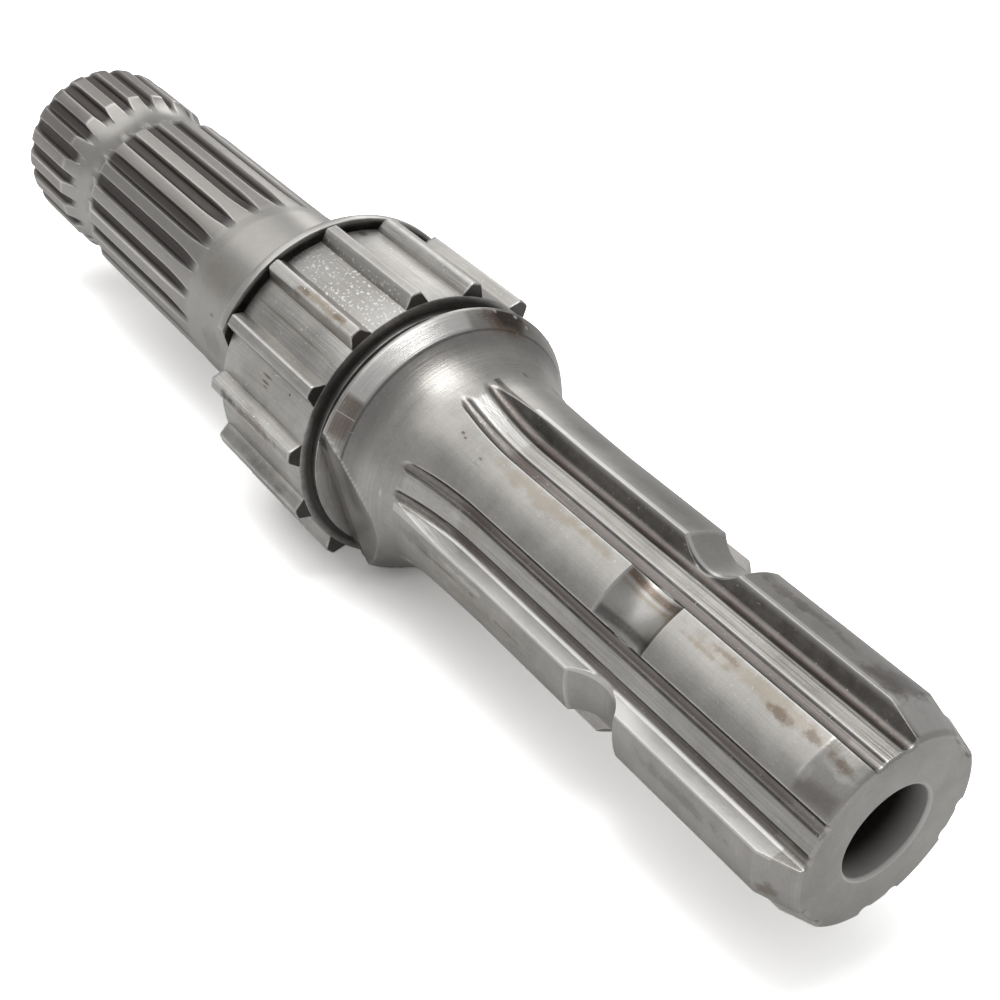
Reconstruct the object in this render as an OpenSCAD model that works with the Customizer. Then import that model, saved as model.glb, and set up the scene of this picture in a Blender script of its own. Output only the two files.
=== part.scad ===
// Power take-off shaft, a forged and machined steel stub shaft that turns
// a driven implement. One end has six wide splines with a locking groove,
// the other end has twenty one fine splines with a locking neck, and a
// toothed collar between them takes the drive from the gear case.
// The shaft lies on its collar with its axis along X. The six-spline end
// points to +X. It is one forging, drawn as three stretches that meet face to
// face: one ends just short of the cutter run-outs, one at the journal.
// Millimetres.

/* [Shaft] */
// Overall length from end face to end face
shaft_len = 235; // [231:0.5:260]
// Outside diameter over the six splines
spline_d = 34.8; // [34.2:0.1:35.2]
// Diameter of the plain part in front of the shoulder
plain_d = 35.8; // [35.4:0.1:36.6]
// Diameter of the smooth journal behind the collar
journal_d = 35.2; // [34.9:0.1:36]
// Outside diameter over the fine splines
fine_d = 34.87; // [34.4:0.01:35.2]

/* [Six-spline end] */
// Width of each spline tooth
tooth_w = 8.56; // [8:0.02:9]
// Diameter across the lands between the splines
land_d = 29.4; // [29:0.1:30]
// Width of each land between its relief channels
land_w = 2.7; // [1.8:0.1:3.6]
// Depth of the relief channels below the lands
channel_depth = 0.5; // [0.2:0.05:0.8]
// Distance from the middle of a land to the deepest line of its channels
channel_mid = 2.5; // [2.2:0.05:2.7]
// Distance from the end face to the start of the cutter run-out
run_start = 72; // [66:0.5:74]
// Radius of the cutter that leaves the curved run-out
cutter_r = 40; // [36:1:48]
// Length of the entry bevel at the end face
bevel_len = 6; // [3:0.5:8]
// Diameter of the end face inside the bevel
face_d = 30.6; // [29:0.1:32]
// Distance from the end face to the middle of the locking groove
lock_pos = 39.3; // [36:0.1:42]
// Radius of the locking groove
lock_r = 6.85; // [6.5:0.05:7.2]
// Angle of the first spline from straight up, towards -Y
spline_turn = 45.7; // [0:0.1:60]

/* [End bore] */
// Diameter of the bore in the six-spline end
bore_d = 15; // [8:0.5:18]
// Depth of the bore
bore_depth = 42; // [20:1:60]
// Width of the bevel at the mouth of the bore
bore_bevel = 0.6; // [0.2:0.1:1]

/* [Shoulder] */
// Distance from the end face to the start of the shoulder fillet
fillet_start = 86; // [85:0.5:87]
// Radius of the shoulder fillet
fillet_r = 17.5; // [16:0.5:18]
// Diameter where the fillet meets the ribbed bevel
fillet_end_d = 45.1; // [44:0.1:46]
// Distance from the end face to the crest of the shoulder
crest_pos = 100.7; // [100:0.1:101.5]
// Diameter of the crest
crest_d = 48.9; // [47.5:0.1:50]
// Width of the land on the crest
crest_w = 0.7; // [0.3:0.1:1]
// Diameter of the thin ring against the collar
ring_d = 44.4; // [42:0.1:46]
// Length of the thin ring
ring_w = 1.3; // [0.8:0.1:2]
// Distance from the axis to the milled flat
flat_dist = 19.1; // [18.8:0.1:21]
// Angle of the milled flat from straight up, towards -Y
flat_turn = 112.7; // [90:0.1:130]

/* [Toothed collar] */
// Distance from the end face to the front of the collar
collar_pos = 105.8; // [105:0.1:107]
// Length of the collar
collar_len = 26.6; // [20:0.2:30]
// Number of collar teeth, an even number so that it lies level
collar_teeth = 14; // [10:2:16]
// Diameter at the foot of the teeth
collar_root_d = 48.6; // [47:0.1:50]
// Diameter over the teeth
collar_tip_d = 53.2; // [52:0.1:55]
// Width of a tooth at its tip
collar_tip_w = 1.9; // [1.4:0.1:2.6]
// Width of a tooth at its foot
collar_foot_w = 4.2; // [3.4:0.1:5]
// Length that each tooth stops short of the collar's rear edge
collar_tooth_short = 0.3; // [0.1:0.1:1]

/* [Rear disc] */
// Width of the relief groove between the collar and the disc
relief_w = 1; // [0.6:0.1:1.6]
// Depth of the relief groove below the tooth feet
relief_depth = 0.7; // [0.3:0.1:1.2]
// Height of the tooth tips above the rim of the disc
disc_drop = 0.7; // [0.2:0.1:1.4]
// Thickness of the rim of the disc
disc_w = 1.7; // [1:0.1:3]
// Radius of the fillet behind the disc
back_fillet_r = 6; // [4:0.5:6.5]

/* [Fine-spline end] */
// Number of fine splines
fine_count = 21; // [16:1:24]
// Distance from the far end face to the tips of the groove run-outs
fine_len = 76; // [70:0.5:78]
// Width of each groove at the outside diameter
groove_top_w = 3; // [2.2:0.1:3.4]
// Width of each groove at its floor
groove_floor_w = 1.5; // [1:0.1:1.8]
// Depth of each groove
groove_depth = 1.45; // [1.2:0.05:1.7]
// Radius of the cutter that leaves the rounded groove ends
groove_cutter_r = 42; // [34:1:50]
// Angle of the first groove from straight up, towards -Y
fine_turn = 15.4; // [0:0.1:24]
// Distance from the far end face to the middle of the locking neck
neck_pos = 25.7; // [24:0.1:28]
// Width of the locking neck along the axis
neck_w = 14; // [12:0.5:16]
// Depth of the locking neck
neck_depth = 1.6; // [1.5:0.05:1.8]
// Length of the rounded entry at the far end
far_bevel_len = 4; // [2:0.5:5]
// Drop of the rounded entry before its last slope
far_round = 0.9; // [0.4:0.1:1.2]
// Diameter of the far end face
far_face_d = 29.6; // [28:0.1:31]

/* [Looks] */
// Colour of the bare steel
steel_colour = "#8e8b86"; // [#8e8b86:Grey steel, #a3a19c:Pale steel, #6f6c68:Dark steel]
// Part to show

/* [Hidden] */
eps = 0.01;
// How far the cuts reach out past an end face
over = 1;
// Length of the slope from the journal down to the fine splines
fine_step_len = 3;
// Where the near stretch meets the middle one, short of the run-outs
hub_pos = run_start - 6;
spline_r = spline_d / 2;
plain_r = plain_d / 2;
journal_r = journal_d / 2;
fine_r = fine_d / 2;
land_r = land_d / 2;
channel_r = land_r - channel_depth;
crest_r = crest_d / 2;
ring_r = ring_d / 2;
root_r = collar_root_d / 2;
tip_r = collar_tip_d / 2;
disc_r = tip_r - disc_drop;
spline_step = 360 / 6;
collar_step = 360 / collar_teeth;
fine_step = 360 / fine_count;
collar_end = collar_pos + collar_len;
disc_pos = collar_end + relief_w;
disc_end = disc_pos + disc_w;
fine_pos = shaft_len - fine_len;
neck_s = shaft_len - neck_pos;
neck_r = (neck_w * neck_w / 4 + neck_depth * neck_depth) / (2 * neck_depth);
// Largest radius that any cutter has to clear
clear_r = 20;
// Angle of the fillet arc in front of the shoulder
fillet_angle = acos(1 - (fillet_end_d / 2 - plain_r) / fillet_r);
// Angle of the back fillet, from the journal up to the disc
back_rise = min(back_fillet_r, disc_r - journal_r);
back_angle = acos(1 - back_rise / back_fillet_r);
// Length of the slope from the rim of the disc to the back fillet
back_lip = 0.4;
journal_pos = disc_end + back_lip + back_fillet_r * sin(back_angle);
// Height of the axis when two neighbouring teeth rest on the ground
tip_half = asin(collar_tip_w / 2 / tip_r);
axis_h = tip_r * cos(collar_step / 2 - tip_half);
// How deep the teeth are sunk into the collar, and where their sides start
tooth_sink = 0.5;
tooth_start = 0.05;
// Size of the block that the milled flats take away
mill_w = 60;
mill_h = 20;
// Slope and blunt tip of the drilled point at the bottom of the bore
point_slope = 0.6;
point_d = 0.6;
// Groove run-out: how far the cutter turns before it leaves the steel
groove_floor_r = fine_r - groove_depth;
groove_lift = acos(1 - (groove_depth + 0.6) / groove_cutter_r);
groove_run = groove_cutter_r * sin(acos(1 - groove_depth / groove_cutter_r));
// Spline run-out: the cutter turns until it is clear of the plain part
gap_lift = acos(1 - (plain_r + 1.6 - channel_r) / cutter_r);

coarse_spline_end();
shoulder_hub();
fine_spline_end();

// Lays a stretch down on its side, in its place along the shaft
module lay_down() {
  color(steel_colour)
    translate([shaft_len / 2, 0, axis_h])
      rotate([0, -90, 0])
        children();
}

// Near stretch with the six straight splines, the locking groove and the bore
module coarse_spline_end() {
  lay_down()
    difference() {
      turned([
        [0, 0],
        [face_d / 2, 0],
        [spline_r, bevel_len],
        [spline_r, hub_pos],
        [0, hub_pos]
      ]);
      rotate_extrude($fn = 128)
        translate([land_r + lock_r, lock_pos])
          circle(r = lock_r, $fn = 64);
      six_spline_gaps();
      end_bore();
    }
}

// Middle stretch with the run-outs, the shoulder, the toothed collar and the disc
module shoulder_hub() {
  lay_down()
    difference() {
      union() {
        turned(hub_outline());
        collar_tooth_ring();
      }
      six_spline_gaps();
      milled_flats();
    }
}

// Far stretch with the journal, the fine splines and the locking neck
module fine_spline_end() {
  lay_down()
    difference() {
      turned([
        [0, journal_pos],
        [journal_r, journal_pos],
        [journal_r, fine_pos - fine_step_len],
        [fine_r, fine_pos],
        [fine_r, shaft_len - far_bevel_len],
        [fine_r - far_round, shaft_len - far_bevel_len * 0.4],
        [far_face_d / 2, shaft_len],
        [0, shaft_len]
      ]);
      rotate_extrude($fn = 128)
        translate([fine_r - neck_depth + neck_r, neck_s])
          circle(r = neck_r, $fn = 96);
      fine_spline_grooves();
    }
}

// Solid of revolution from points of radius and distance from the near end
module turned(outline) {
  rotate_extrude($fn = 128)
    polygon(outline);
}

// Turned outline of the middle stretch, from the run-outs to the journal
function hub_outline() = concat(
  [[0, hub_pos], [spline_r, hub_pos]],
  [for (i = [0:7])
    let (t = fillet_angle * i / 7)
    [plain_r + fillet_r * (1 - cos(t)), fillet_start + fillet_r * sin(t)]],
  [[crest_r, crest_pos],
   [crest_r, crest_pos + crest_w],
   [ring_r, collar_pos - ring_w],
   [ring_r, collar_pos],
   [root_r, collar_pos],
   [root_r, collar_end],
   [root_r - relief_depth, collar_end],
   [root_r - relief_depth, disc_pos],
   [disc_r, disc_pos],
   [disc_r, disc_end]],
  [for (i = [0:5])
    let (t = back_angle * (1 - i / 5))
    [journal_r + back_fillet_r * (1 - cos(t)),
     disc_end + back_lip + back_fillet_r * (sin(back_angle) - sin(t))]],
  [[0, journal_pos]]
);

// Straight-sided teeth round the collar, two of them level underneath
module collar_tooth_ring() {
  for (i = [0:collar_teeth - 1])
    rotate([0, 0, collar_step * (i + 0.5)])
      translate([0, 0, collar_pos])
        linear_extrude(height = collar_len - collar_tooth_short)
          polygon([
            [root_r - tooth_sink, -collar_foot_w / 2],
            [root_r - tooth_start, -collar_foot_w / 2],
            [tip_r * cos(tip_half), -collar_tip_w / 2],
            [tip_r * cos(tip_half), collar_tip_w / 2],
            [root_r - tooth_start, collar_foot_w / 2],
            [root_r - tooth_sink, collar_foot_w / 2]
          ]);
}

// Half of the gap between two splines, as points of radius and side offset:
// the straight flank, the rounded relief channel and the edge of the land
function gap_side(r) = (r * sin(30) - tooth_w / 2) / cos(30);
function half_gap() = [
  [clear_r, gap_side(clear_r)],
  [land_r, gap_side(land_r)],
  [channel_r + channel_depth / 5, (gap_side(land_r) + channel_mid) / 2],
  [channel_r, channel_mid],
  [land_r, land_w / 2]
];
function gap_outline() = concat(
  half_gap(),
  [for (i = [len(half_gap()) - 1:-1:0]) [half_gap()[i][0], -half_gap()[i][1]]]
);

// Six gaps that leave the splines, each with its curved run-out
module six_spline_gaps() {
  for (i = [0:5])
    rotate([0, 0, -(spline_turn + spline_step * (i + 0.5))]) {
      translate([0, 0, -over])
        linear_extrude(height = run_start + over)
          polygon(gap_outline());
      run_out(gap_outline(), channel_r, run_start, cutter_r, gap_lift, 1);
    }
}

// Curved end of a groove, swept by a round cutter
// side is 1 for a run-out away from the near end and -1 towards it
module run_out(outline, floor_r, start, radius, lift, side) {
  translate([floor_r + radius, 0, start])
    mirror([0, 0, side > 0 ? 1 : 0])
      rotate([90, 0, 0])
        rotate([0, 0, 180])
          rotate_extrude(angle = lift, $fn = 180)
            polygon([for (p = outline) [floor_r + radius - p[0], p[1]]]);
}

// Cross-section of a fine groove
function groove_side(r) =
  groove_floor_w / 2
  + (groove_top_w - groove_floor_w) / 2 * (r - groove_floor_r) / groove_depth;
function groove_outline() = [
  [fine_r + 2, groove_side(fine_r + 2)],
  [groove_floor_r, groove_floor_w / 2],
  [groove_floor_r, -groove_floor_w / 2],
  [fine_r + 2, -groove_side(fine_r + 2)]
];

// Fine grooves that run from their rounded ends out through the far face
module fine_spline_grooves() {
  for (i = [0:fine_count - 1])
    rotate([0, 0, -(fine_turn + fine_step * i)]) {
      translate([0, 0, fine_pos + groove_run])
        linear_extrude(height = fine_len - groove_run + over)
          polygon(groove_outline());
      run_out(
        groove_outline(), groove_floor_r, fine_pos + groove_run,
        groove_cutter_r, groove_lift, -1
      );
    }
}

// One flat milled across the shoulder and across the rear disc
module milled_flats() {
  rotate([0, 0, -flat_turn]) {
    translate([flat_dist, -mill_w / 2, fillet_start])
      cube([mill_h, mill_w, collar_pos - ring_w - fillet_start]);
    translate([flat_dist, -mill_w / 2, disc_pos])
      cube([mill_h, mill_w, journal_pos - disc_pos]);
  }
}

// Blind bore with a bevelled mouth and a drilled point
module end_bore() {
  translate([0, 0, -over])
    cylinder(d = bore_d, h = bore_depth + over, $fn = 64);
  translate([0, 0, -eps])
    cylinder(d1 = bore_d + 2 * (bore_bevel + eps), d2 = bore_d, h = bore_bevel + eps, $fn = 64);
  translate([0, 0, bore_depth])
    cylinder(d1 = bore_d, d2 = point_d, h = bore_d / 2 * point_slope, $fn = 64);
}
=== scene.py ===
"""Looks for a power take-off shaft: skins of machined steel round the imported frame."""

import math
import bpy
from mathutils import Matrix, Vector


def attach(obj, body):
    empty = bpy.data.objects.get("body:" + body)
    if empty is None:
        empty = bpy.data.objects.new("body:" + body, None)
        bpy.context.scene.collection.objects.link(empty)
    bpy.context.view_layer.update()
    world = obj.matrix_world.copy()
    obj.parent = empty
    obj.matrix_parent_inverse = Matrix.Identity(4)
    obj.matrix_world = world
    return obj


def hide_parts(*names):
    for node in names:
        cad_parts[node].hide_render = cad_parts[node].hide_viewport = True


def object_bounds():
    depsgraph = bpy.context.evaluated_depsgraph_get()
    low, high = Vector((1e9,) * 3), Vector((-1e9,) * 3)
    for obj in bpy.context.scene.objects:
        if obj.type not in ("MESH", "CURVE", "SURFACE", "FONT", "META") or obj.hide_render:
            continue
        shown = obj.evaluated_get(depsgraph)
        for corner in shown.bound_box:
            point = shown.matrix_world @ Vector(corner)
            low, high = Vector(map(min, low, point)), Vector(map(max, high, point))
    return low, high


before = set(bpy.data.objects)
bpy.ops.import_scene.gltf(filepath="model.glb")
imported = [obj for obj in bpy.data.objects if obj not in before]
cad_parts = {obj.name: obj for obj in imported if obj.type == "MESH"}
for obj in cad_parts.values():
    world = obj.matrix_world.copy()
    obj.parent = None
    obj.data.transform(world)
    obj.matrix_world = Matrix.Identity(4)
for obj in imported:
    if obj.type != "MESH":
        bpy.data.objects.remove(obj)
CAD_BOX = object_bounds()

from types import SimpleNamespace

import bpy
import numpy as np
from bpy.props import FloatProperty, FloatVectorProperty, IntProperty, PointerProperty
from mathutils import Matrix, Vector

bl_info = {
    "name": "Power take-off shaft",
    "version": (1, 0, 0),
    "blender": (4, 5, 0),
    "location": "View3D > Sidebar > Shaft",
    "description": "Builds the skins, the finish and the studio of a power take-off shaft",
    "category": "Object",
}

# Place of the shaft, whose axis lies along X
MM = 0.001
SHAFT_LEN = (CAD_BOX[1].x - CAD_BOX[0].x) / MM
AXIS_H = (CAD_BOX[1].z + CAD_BOX[0].z) / 2 / MM

# Camera of the photograph
CAMERA_PLACE = (0.198166, -0.144380, 0.161902)
CAMERA_RIGHT = (0.57684, 0.80266, 0.15167)
CAMERA_UP = (-0.51015, 0.20898, 0.83431)
CAMERA_BACK = (0.63797, -0.55864, 0.53002)
LENS_MM = 58.377
SENSOR_MM = 36.0


# Settings

def length(name, description, millimetres):
    """Length property whose default is given in millimetres."""
    return FloatProperty(
        name=name, description=description, default=millimetres * MM, min=0.0, precision=5, unit="LENGTH")


def angle(name, description, degrees):
    """Angle property whose default is given in degrees."""
    return FloatProperty(
        name=name, description=description, default=math.radians(degrees), subtype="ANGLE")


def share(name, description, default):
    """Property for a share between nothing and all."""
    return FloatProperty(
        name=name, description=description, default=default, min=0.0, max=1.0, subtype="FACTOR")


def radiance(name, description, default):
    """Property for the even radiance of a light."""
    return FloatProperty(name=name, description=description, default=default, min=0.0)


def colour(name, description, *default):
    """Colour property."""
    return FloatVectorProperty(
        name=name, description=description, default=(*default, 1.0), size=4,
        min=0.0, max=1.0, subtype="COLOR")


class NearEndSettings(bpy.types.PropertyGroup):
    """Sizes of the six-spline end and the shoulder."""

    spline_r: length("Spline radius", "Radius over the six splines", 17.4)
    plain_r: length("Plain radius", "Radius of the plain part in front of the shoulder", 17.9)
    face_r: length("Face radius", "Radius of the end face inside its bevel", 15.3)
    bevel_len: length("Bevel length", "Length of the entry bevel", 6.0)
    rim: length("Rim", "Rounding of the rim of the end face", 0.55)
    tooth_w: length("Spline width", "Width of each spline", 8.56)
    land_r: length("Land radius", "Radius of the lands between the splines", 14.7)
    land_w: length("Land width", "Width of each land", 2.7)
    channel_depth: length("Channel depth", "Depth of the relief channels below the lands", 0.5)
    channel_mid: length("Channel place", "Distance from the middle of a land to its channels", 2.5)
    swell_pos: length("Swell start", "Where the splines start to swell to the plain part", 66.0)
    run_start: length("Run-out start", "Where the gaps start to climb out", 72.0)
    cutter_r: length("Cutter radius", "Radius of the cutter that leaves the run-outs", 40.0)
    lock_pos: length("Locking groove", "Distance from the end face to the locking groove", 39.3)
    lock_r: length("Groove radius", "Radius of the locking groove", 6.85)
    first_turn: angle("First spline", "Turn of the first spline from straight up", 45.7)
    bore_r: length("Bore radius", "Radius of the bore in the end face", 7.5)
    bore_depth: length("Bore depth", "Depth of the bore", 42.0)
    bore_mouth: length("Bore mouth", "Rounding of the mouth of the bore", 0.6)
    fillet_start: length("Fillet start", "Where the fillet of the shoulder starts", 86.0)
    fillet_r: length("Fillet radius", "Radius of the fillet of the shoulder", 17.5)
    fillet_end_r: length("Fillet end", "Radius where the fillet meets the bevel", 22.55)
    crest_pos: length("Crest place", "Distance from the end face to the crest", 100.7)
    crest_r: length("Crest radius", "Radius of the crest of the shoulder", 24.45)
    ring_r: length("Ring radius", "Radius of the thin ring", 22.2)
    ring_w: length("Ring width", "Width of the thin ring", 1.3)


class CollarSettings(bpy.types.PropertyGroup):
    """Sizes of the toothed collar and its disc."""

    teeth: IntProperty(
        name="Teeth", description="Number of teeth round the collar", default=14, min=4, max=40)
    seed: IntProperty(name="Seed", description="Seed of the uneven wear of the teeth", default=3)
    pos: length("Place", "Distance from the end face to the front of the collar", 105.8)
    long: length("Length", "Length of the collar", 26.6)
    root_r: length("Foot radius", "Radius at the feet of the teeth", 24.3)
    tip_r: length("Tip radius", "Radius over the teeth", 26.6)
    tip_w: length("Tip width", "Width of a tooth at its tip", 1.9)
    foot_w: length("Foot width", "Width of a tooth at its foot", 4.2)
    short: length("Set back", "How far each tooth stops short of the rear edge", 0.3)
    relief_w: length("Relief width", "Width of the groove in front of the disc", 1.0)
    relief_r: length("Relief radius", "Radius at the bottom of that groove", 23.6)
    disc_r: length("Disc radius", "Radius of the disc", 25.9)
    disc_w: length("Disc width", "Thickness of the rim of the disc", 1.7)
    flat_dist: length("Flat distance", "Distance from the axis to the milled flat", 19.1)
    flat_turn: angle("Flat turn", "Turn of the milled flat from straight up", 112.7)


class FarEndSettings(bpy.types.PropertyGroup):
    """Sizes of the journal and the fine-spline end."""

    grooves: IntProperty(name="Grooves", description="Number of fine grooves", default=21, min=6, max=40)
    fillet_r: length("Fillet radius", "Radius of the fillet behind the disc", 6.0)
    lip: length("Lip", "Length of the slope from the disc to that fillet", 0.4)
    journal_r: length("Journal radius", "Radius of the smooth journal", 17.6)
    fine_r: length("Spline radius", "Radius over the fine splines", 17.435)
    fine_len: length("Groove length", "Distance from the far face to the tips of the grooves", 76.0)
    step_len: length("Step length", "Length of the slope from the journal to the splines", 3.0)
    top_w: length("Groove width", "Width of a groove at its top", 3.0)
    floor_w: length("Floor width", "Width of a groove at its floor", 1.5)
    depth: length("Groove depth", "Depth of a groove", 1.45)
    cutter_r: length("Cutter radius", "Radius of the cutter that leaves the groove ends", 42.0)
    first_turn: angle("First groove", "Turn of the first groove from straight up", 15.4)
    neck_pos: length("Neck place", "Distance from the far face to the locking neck", 25.7)
    neck_w: length("Neck width", "Width of the locking neck", 14.0)
    neck_depth: length("Neck depth", "Depth of the locking neck", 1.6)
    entry_len: length("Entry length", "Length of the rounded entry", 4.0)
    face_r: length("Face radius", "Radius of the far face", 14.8)


class FinishSettings(bpy.types.PropertyGroup):
    """Colours and wear of the steel, and the colours of its painted shade, painted highlights and painted
    light.
    """

    steel: colour("Steel", "Bare machined steel", 0.500, 0.484, 0.458)
    # Bright steel: edges rubbed bright, and also painted highlights and painted glints
    bright_wear_and_highlight: colour("Bright edge", "Steel where it is rubbed bright", 0.80, 0.79, 0.77)
    # Dulled steel for dull patches, and also painted shade on the end of the shoulder fillet
    dulled_and_shaded: colour("Dull patch", "Steel where it is dulled", 0.24, 0.23, 0.225)
    tan: colour("Tan stain", "Thin old oil", 0.37, 0.310, 0.235)
    brown: colour("Brown stain", "Thick old oil and rust", 0.185, 0.130, 0.092)
    dark: colour("Dark hollow", "Soot and shade in a hollow", 0.050, 0.044, 0.042)
    plum: colour("Groove floor", "Oxide on the floor of a groove", 0.150, 0.120, 0.112)
    # Painted light on the wall just inside the bore, which fades to the dark colour deeper in
    mouth: colour("Bore mouth", "Steel just inside the bore", 0.72, 0.70, 0.68)
    edge_wear: share("Edge wear", "How bright the edges are rubbed", 0.75)
    grime: share("Grime", "How much dirt lies in the hollows", 0.84)


class StudioSettings(bpy.types.PropertyGroup):
    """Light of the studio."""

    overhead: radiance("Overhead", "Radiance of the box overhead", 0.74)
    core: radiance("Core", "Radiance of the bright box above the shoulder", 5.0)
    strip: radiance("Strip", "Radiance of the strip behind", 1.5)
    room: share("Room", "Brightness of the room that the steel mirrors", 0.38)


def own_properties(group):
    """Properties of a group that the shaft's settings define."""
    return [prop for prop in group.bl_rna.properties if prop.identifier not in ("rna_type", "name")]


def in_millimetres(group):
    """Settings of a group as plain values, lengths in millimetres and angles in degrees."""
    values = {}
    for prop in own_properties(group):
        value = getattr(group, prop.identifier)
        if prop.type == "FLOAT" and prop.unit == "LENGTH":
            value = value / MM
        if prop.type == "FLOAT" and prop.subtype == "ANGLE":
            value = math.degrees(value)
        values[prop.identifier] = value
    return SimpleNamespace(**values)


def placed(name, data):
    """New object of that data, linked into the scene."""
    item = bpy.data.objects.new(name, data)
    bpy.context.scene.collection.objects.link(item)
    return item


# Short calls for node trees

def put(tree, socket, value):
    """Links a socket into an input, or sets the input to a value."""
    if isinstance(value, bpy.types.NodeSocket):
        tree.links.new(value, socket)
    else:
        socket.default_value = value


def add(tree, kind, sockets=None, **settings):
    """New node of a kind, with its settings and its inputs."""
    node = tree.nodes.new(kind)
    for name, value in settings.items():
        setattr(node, name, value)
    for name, value in (sockets or {}).items():
        put(tree, node.inputs[name], value)
    return node


def maths(tree, operation, *values, clamp=False):
    """Output of a math node."""
    node = add(tree, "ShaderNodeMath", operation=operation, use_clamp=clamp)
    for socket, value in zip(node.inputs, values):
        put(tree, socket, value)
    return node.outputs[0]


def mixed(tree, factor, first, second, mode="MIX"):
    """Output of a colour mix node."""
    node = add(tree, "ShaderNodeMix", data_type="RGBA", blend_type=mode)
    for index, value in ((0, factor), (6, first), (7, second)):
        put(tree, node.inputs[index], value)
    return node.outputs[2]


def noise(tree, vector, scale, detail, rough):
    """Factor of a noise texture, less a half."""
    node = add(tree, "ShaderNodeTexNoise", {
        "Vector": vector, "Scale": scale, "Detail": detail, "Roughness": rough,
    })
    return maths(tree, "SUBTRACT", node.outputs[0], 0.5)


def ramped(tree, value, low, high, to_low=0.0, to_high=1.0):
    """Smooth step of a value from one level to another."""
    node = add(tree, "ShaderNodeMapRange", interpolation_type="SMOOTHSTEP")
    for index, level in enumerate((value, low, high, to_low, to_high)):
        put(tree, node.inputs[index], level)
    return node.outputs[0]


# Rings of a skin

# Softness where a gap meets the body, a radius past every cut, and the angle from which an edge is sharp
EDGE_SOFT = 0.16
PAST_CUTS = 99.0
SHARP_ANGLE = math.radians(32)

# Wear is nothing up to the floor, and grows from there with how sharply the skin turns
WEAR_GAIN = 2.4
WEAR_FLOOR = 0.3


def soft_min(a, b, width):
    """Smaller of two radii, rounded over where they cross."""
    h = np.clip(0.5 + 0.5 * (b - a) / width, 0, 1)
    return b * (1 - h) + a * h - width * h * (1 - h)


def skin_points(stations):
    """Points of a skin from stations of (distance, turns, radii, radius before cutting)."""
    rows = []
    for s, turn, radius, _ in stations:
        a = np.radians(turn)
        r = np.broadcast_to(radius, a.shape)
        x = np.full(a.shape, SHAFT_LEN / 2 - s)
        rows.append(np.stack([x, -r * np.sin(a), AXIS_H + r * np.cos(a)], -1))
    return np.array(rows)


def unit(vectors):
    """Vectors of length one."""
    return vectors / (np.linalg.norm(vectors, axis=-1, keepdims=True) + 1e-9)


def edge_wear(rows):
    """How sharply the skin turns outwards at each of its points, from 0 to 1."""
    before = unit(rows - np.roll(rows, 1, 1))
    after = unit(np.roll(rows, -1, 1) - rows)
    back = unit(rows - np.concatenate([rows[:1], rows[:-1]]))
    ahead = unit(np.concatenate([rows[1:], rows[-1:]]) - rows)
    normal = unit(np.cross(unit(before + after), unit(back + ahead)))
    round_turn = ((before - after) * normal).sum(-1)
    long_turn = ((back - ahead) * normal).sum(-1)
    long_turn[0] = 0
    long_turn[-1] = 0
    sign = np.sign(((rows - [0, 0, AXIS_H]) * [0, 1, 1] * normal).sum(-1).mean())
    sharpness = np.maximum(sign * round_turn, sign * long_turn)
    return np.clip(sharpness * WEAR_GAIN - WEAR_FLOOR, 0, 1)


def steel_object(name, points, faces, depth, edge, material):
    """Mesh object of points in millimetres, with depth and edge wear as attributes."""
    mesh = bpy.data.meshes.new(name)
    mesh.from_pydata((np.reshape(points, (-1, 3)) * MM).tolist(), [], faces)
    for label, values in (("depth", depth), ("edge", edge)):
        attribute = mesh.attributes.new(label, "FLOAT", "POINT")
        attribute.data.foreach_set("value", np.ravel(values).astype(np.float32))
    mesh.shade_smooth()
    mesh.set_sharp_from_angle(angle=SHARP_ANGLE)
    mesh.validate()
    mesh.materials.append(material)
    return placed(name, mesh)


def skin_object(name, stations, material):
    """Mesh object of a skin, with quads between its rings."""
    rows = skin_points(stations)
    count, around = rows.shape[:2]
    i, j = np.meshgrid(np.arange(count - 1), np.arange(around), indexing="ij")
    k = (j + 1) % around
    quads = np.stack([i * around + j, (i + 1) * around + j, (i + 1) * around + k, i * around + k], -1)
    depth = [np.maximum(body - np.broadcast_to(radius, turn.shape), 0)
             for _, turn, radius, body in stations]
    return steel_object(name, rows, quads.reshape(-1, 4).tolist(), depth, edge_wear(rows), material)


def finish_piece(piece, *nodes):
    """Gives a piece its body and the nodes that it stands for."""
    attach(piece, "root")
    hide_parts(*nodes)


# Near skin: bore, face, splines, shoulder

def whole_body_radius(n, s):
    """Radius of the turned body before its locking groove."""
    if s <= n.bevel_len:
        return n.face_r + (n.spline_r - n.face_r) * s / n.bevel_len
    if s <= n.swell_pos:
        return n.spline_r
    if s <= n.fillet_start:
        swell = (n.plain_r - n.spline_r) * (s - n.swell_pos) / (n.fillet_start - n.swell_pos)
        return n.spline_r + swell
    return n.plain_r + n.fillet_r - math.sqrt(n.fillet_r ** 2 - (s - n.fillet_start) ** 2)


def near_body_radius(n, s):
    """Radius of the turned body before the gaps are cut."""
    r = whole_body_radius(n, s)
    d = abs(s - n.lock_pos)
    if d < n.lock_r:
        r = min(r, n.land_r + n.lock_r - math.sqrt(n.lock_r ** 2 - d * d))
    return r


def gap_body(n, s, turn, radius):
    """Radius of the whole body inside the gaps, and of the skin itself elsewhere."""
    off = np.abs((turn - n.first_turn + 30) % 60 - 30)
    tooth = np.degrees(np.arcsin(n.tooth_w / 2 / radius)) + 0.05
    return np.where(off > tooth, whole_body_radius(n, s), radius)


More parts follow.
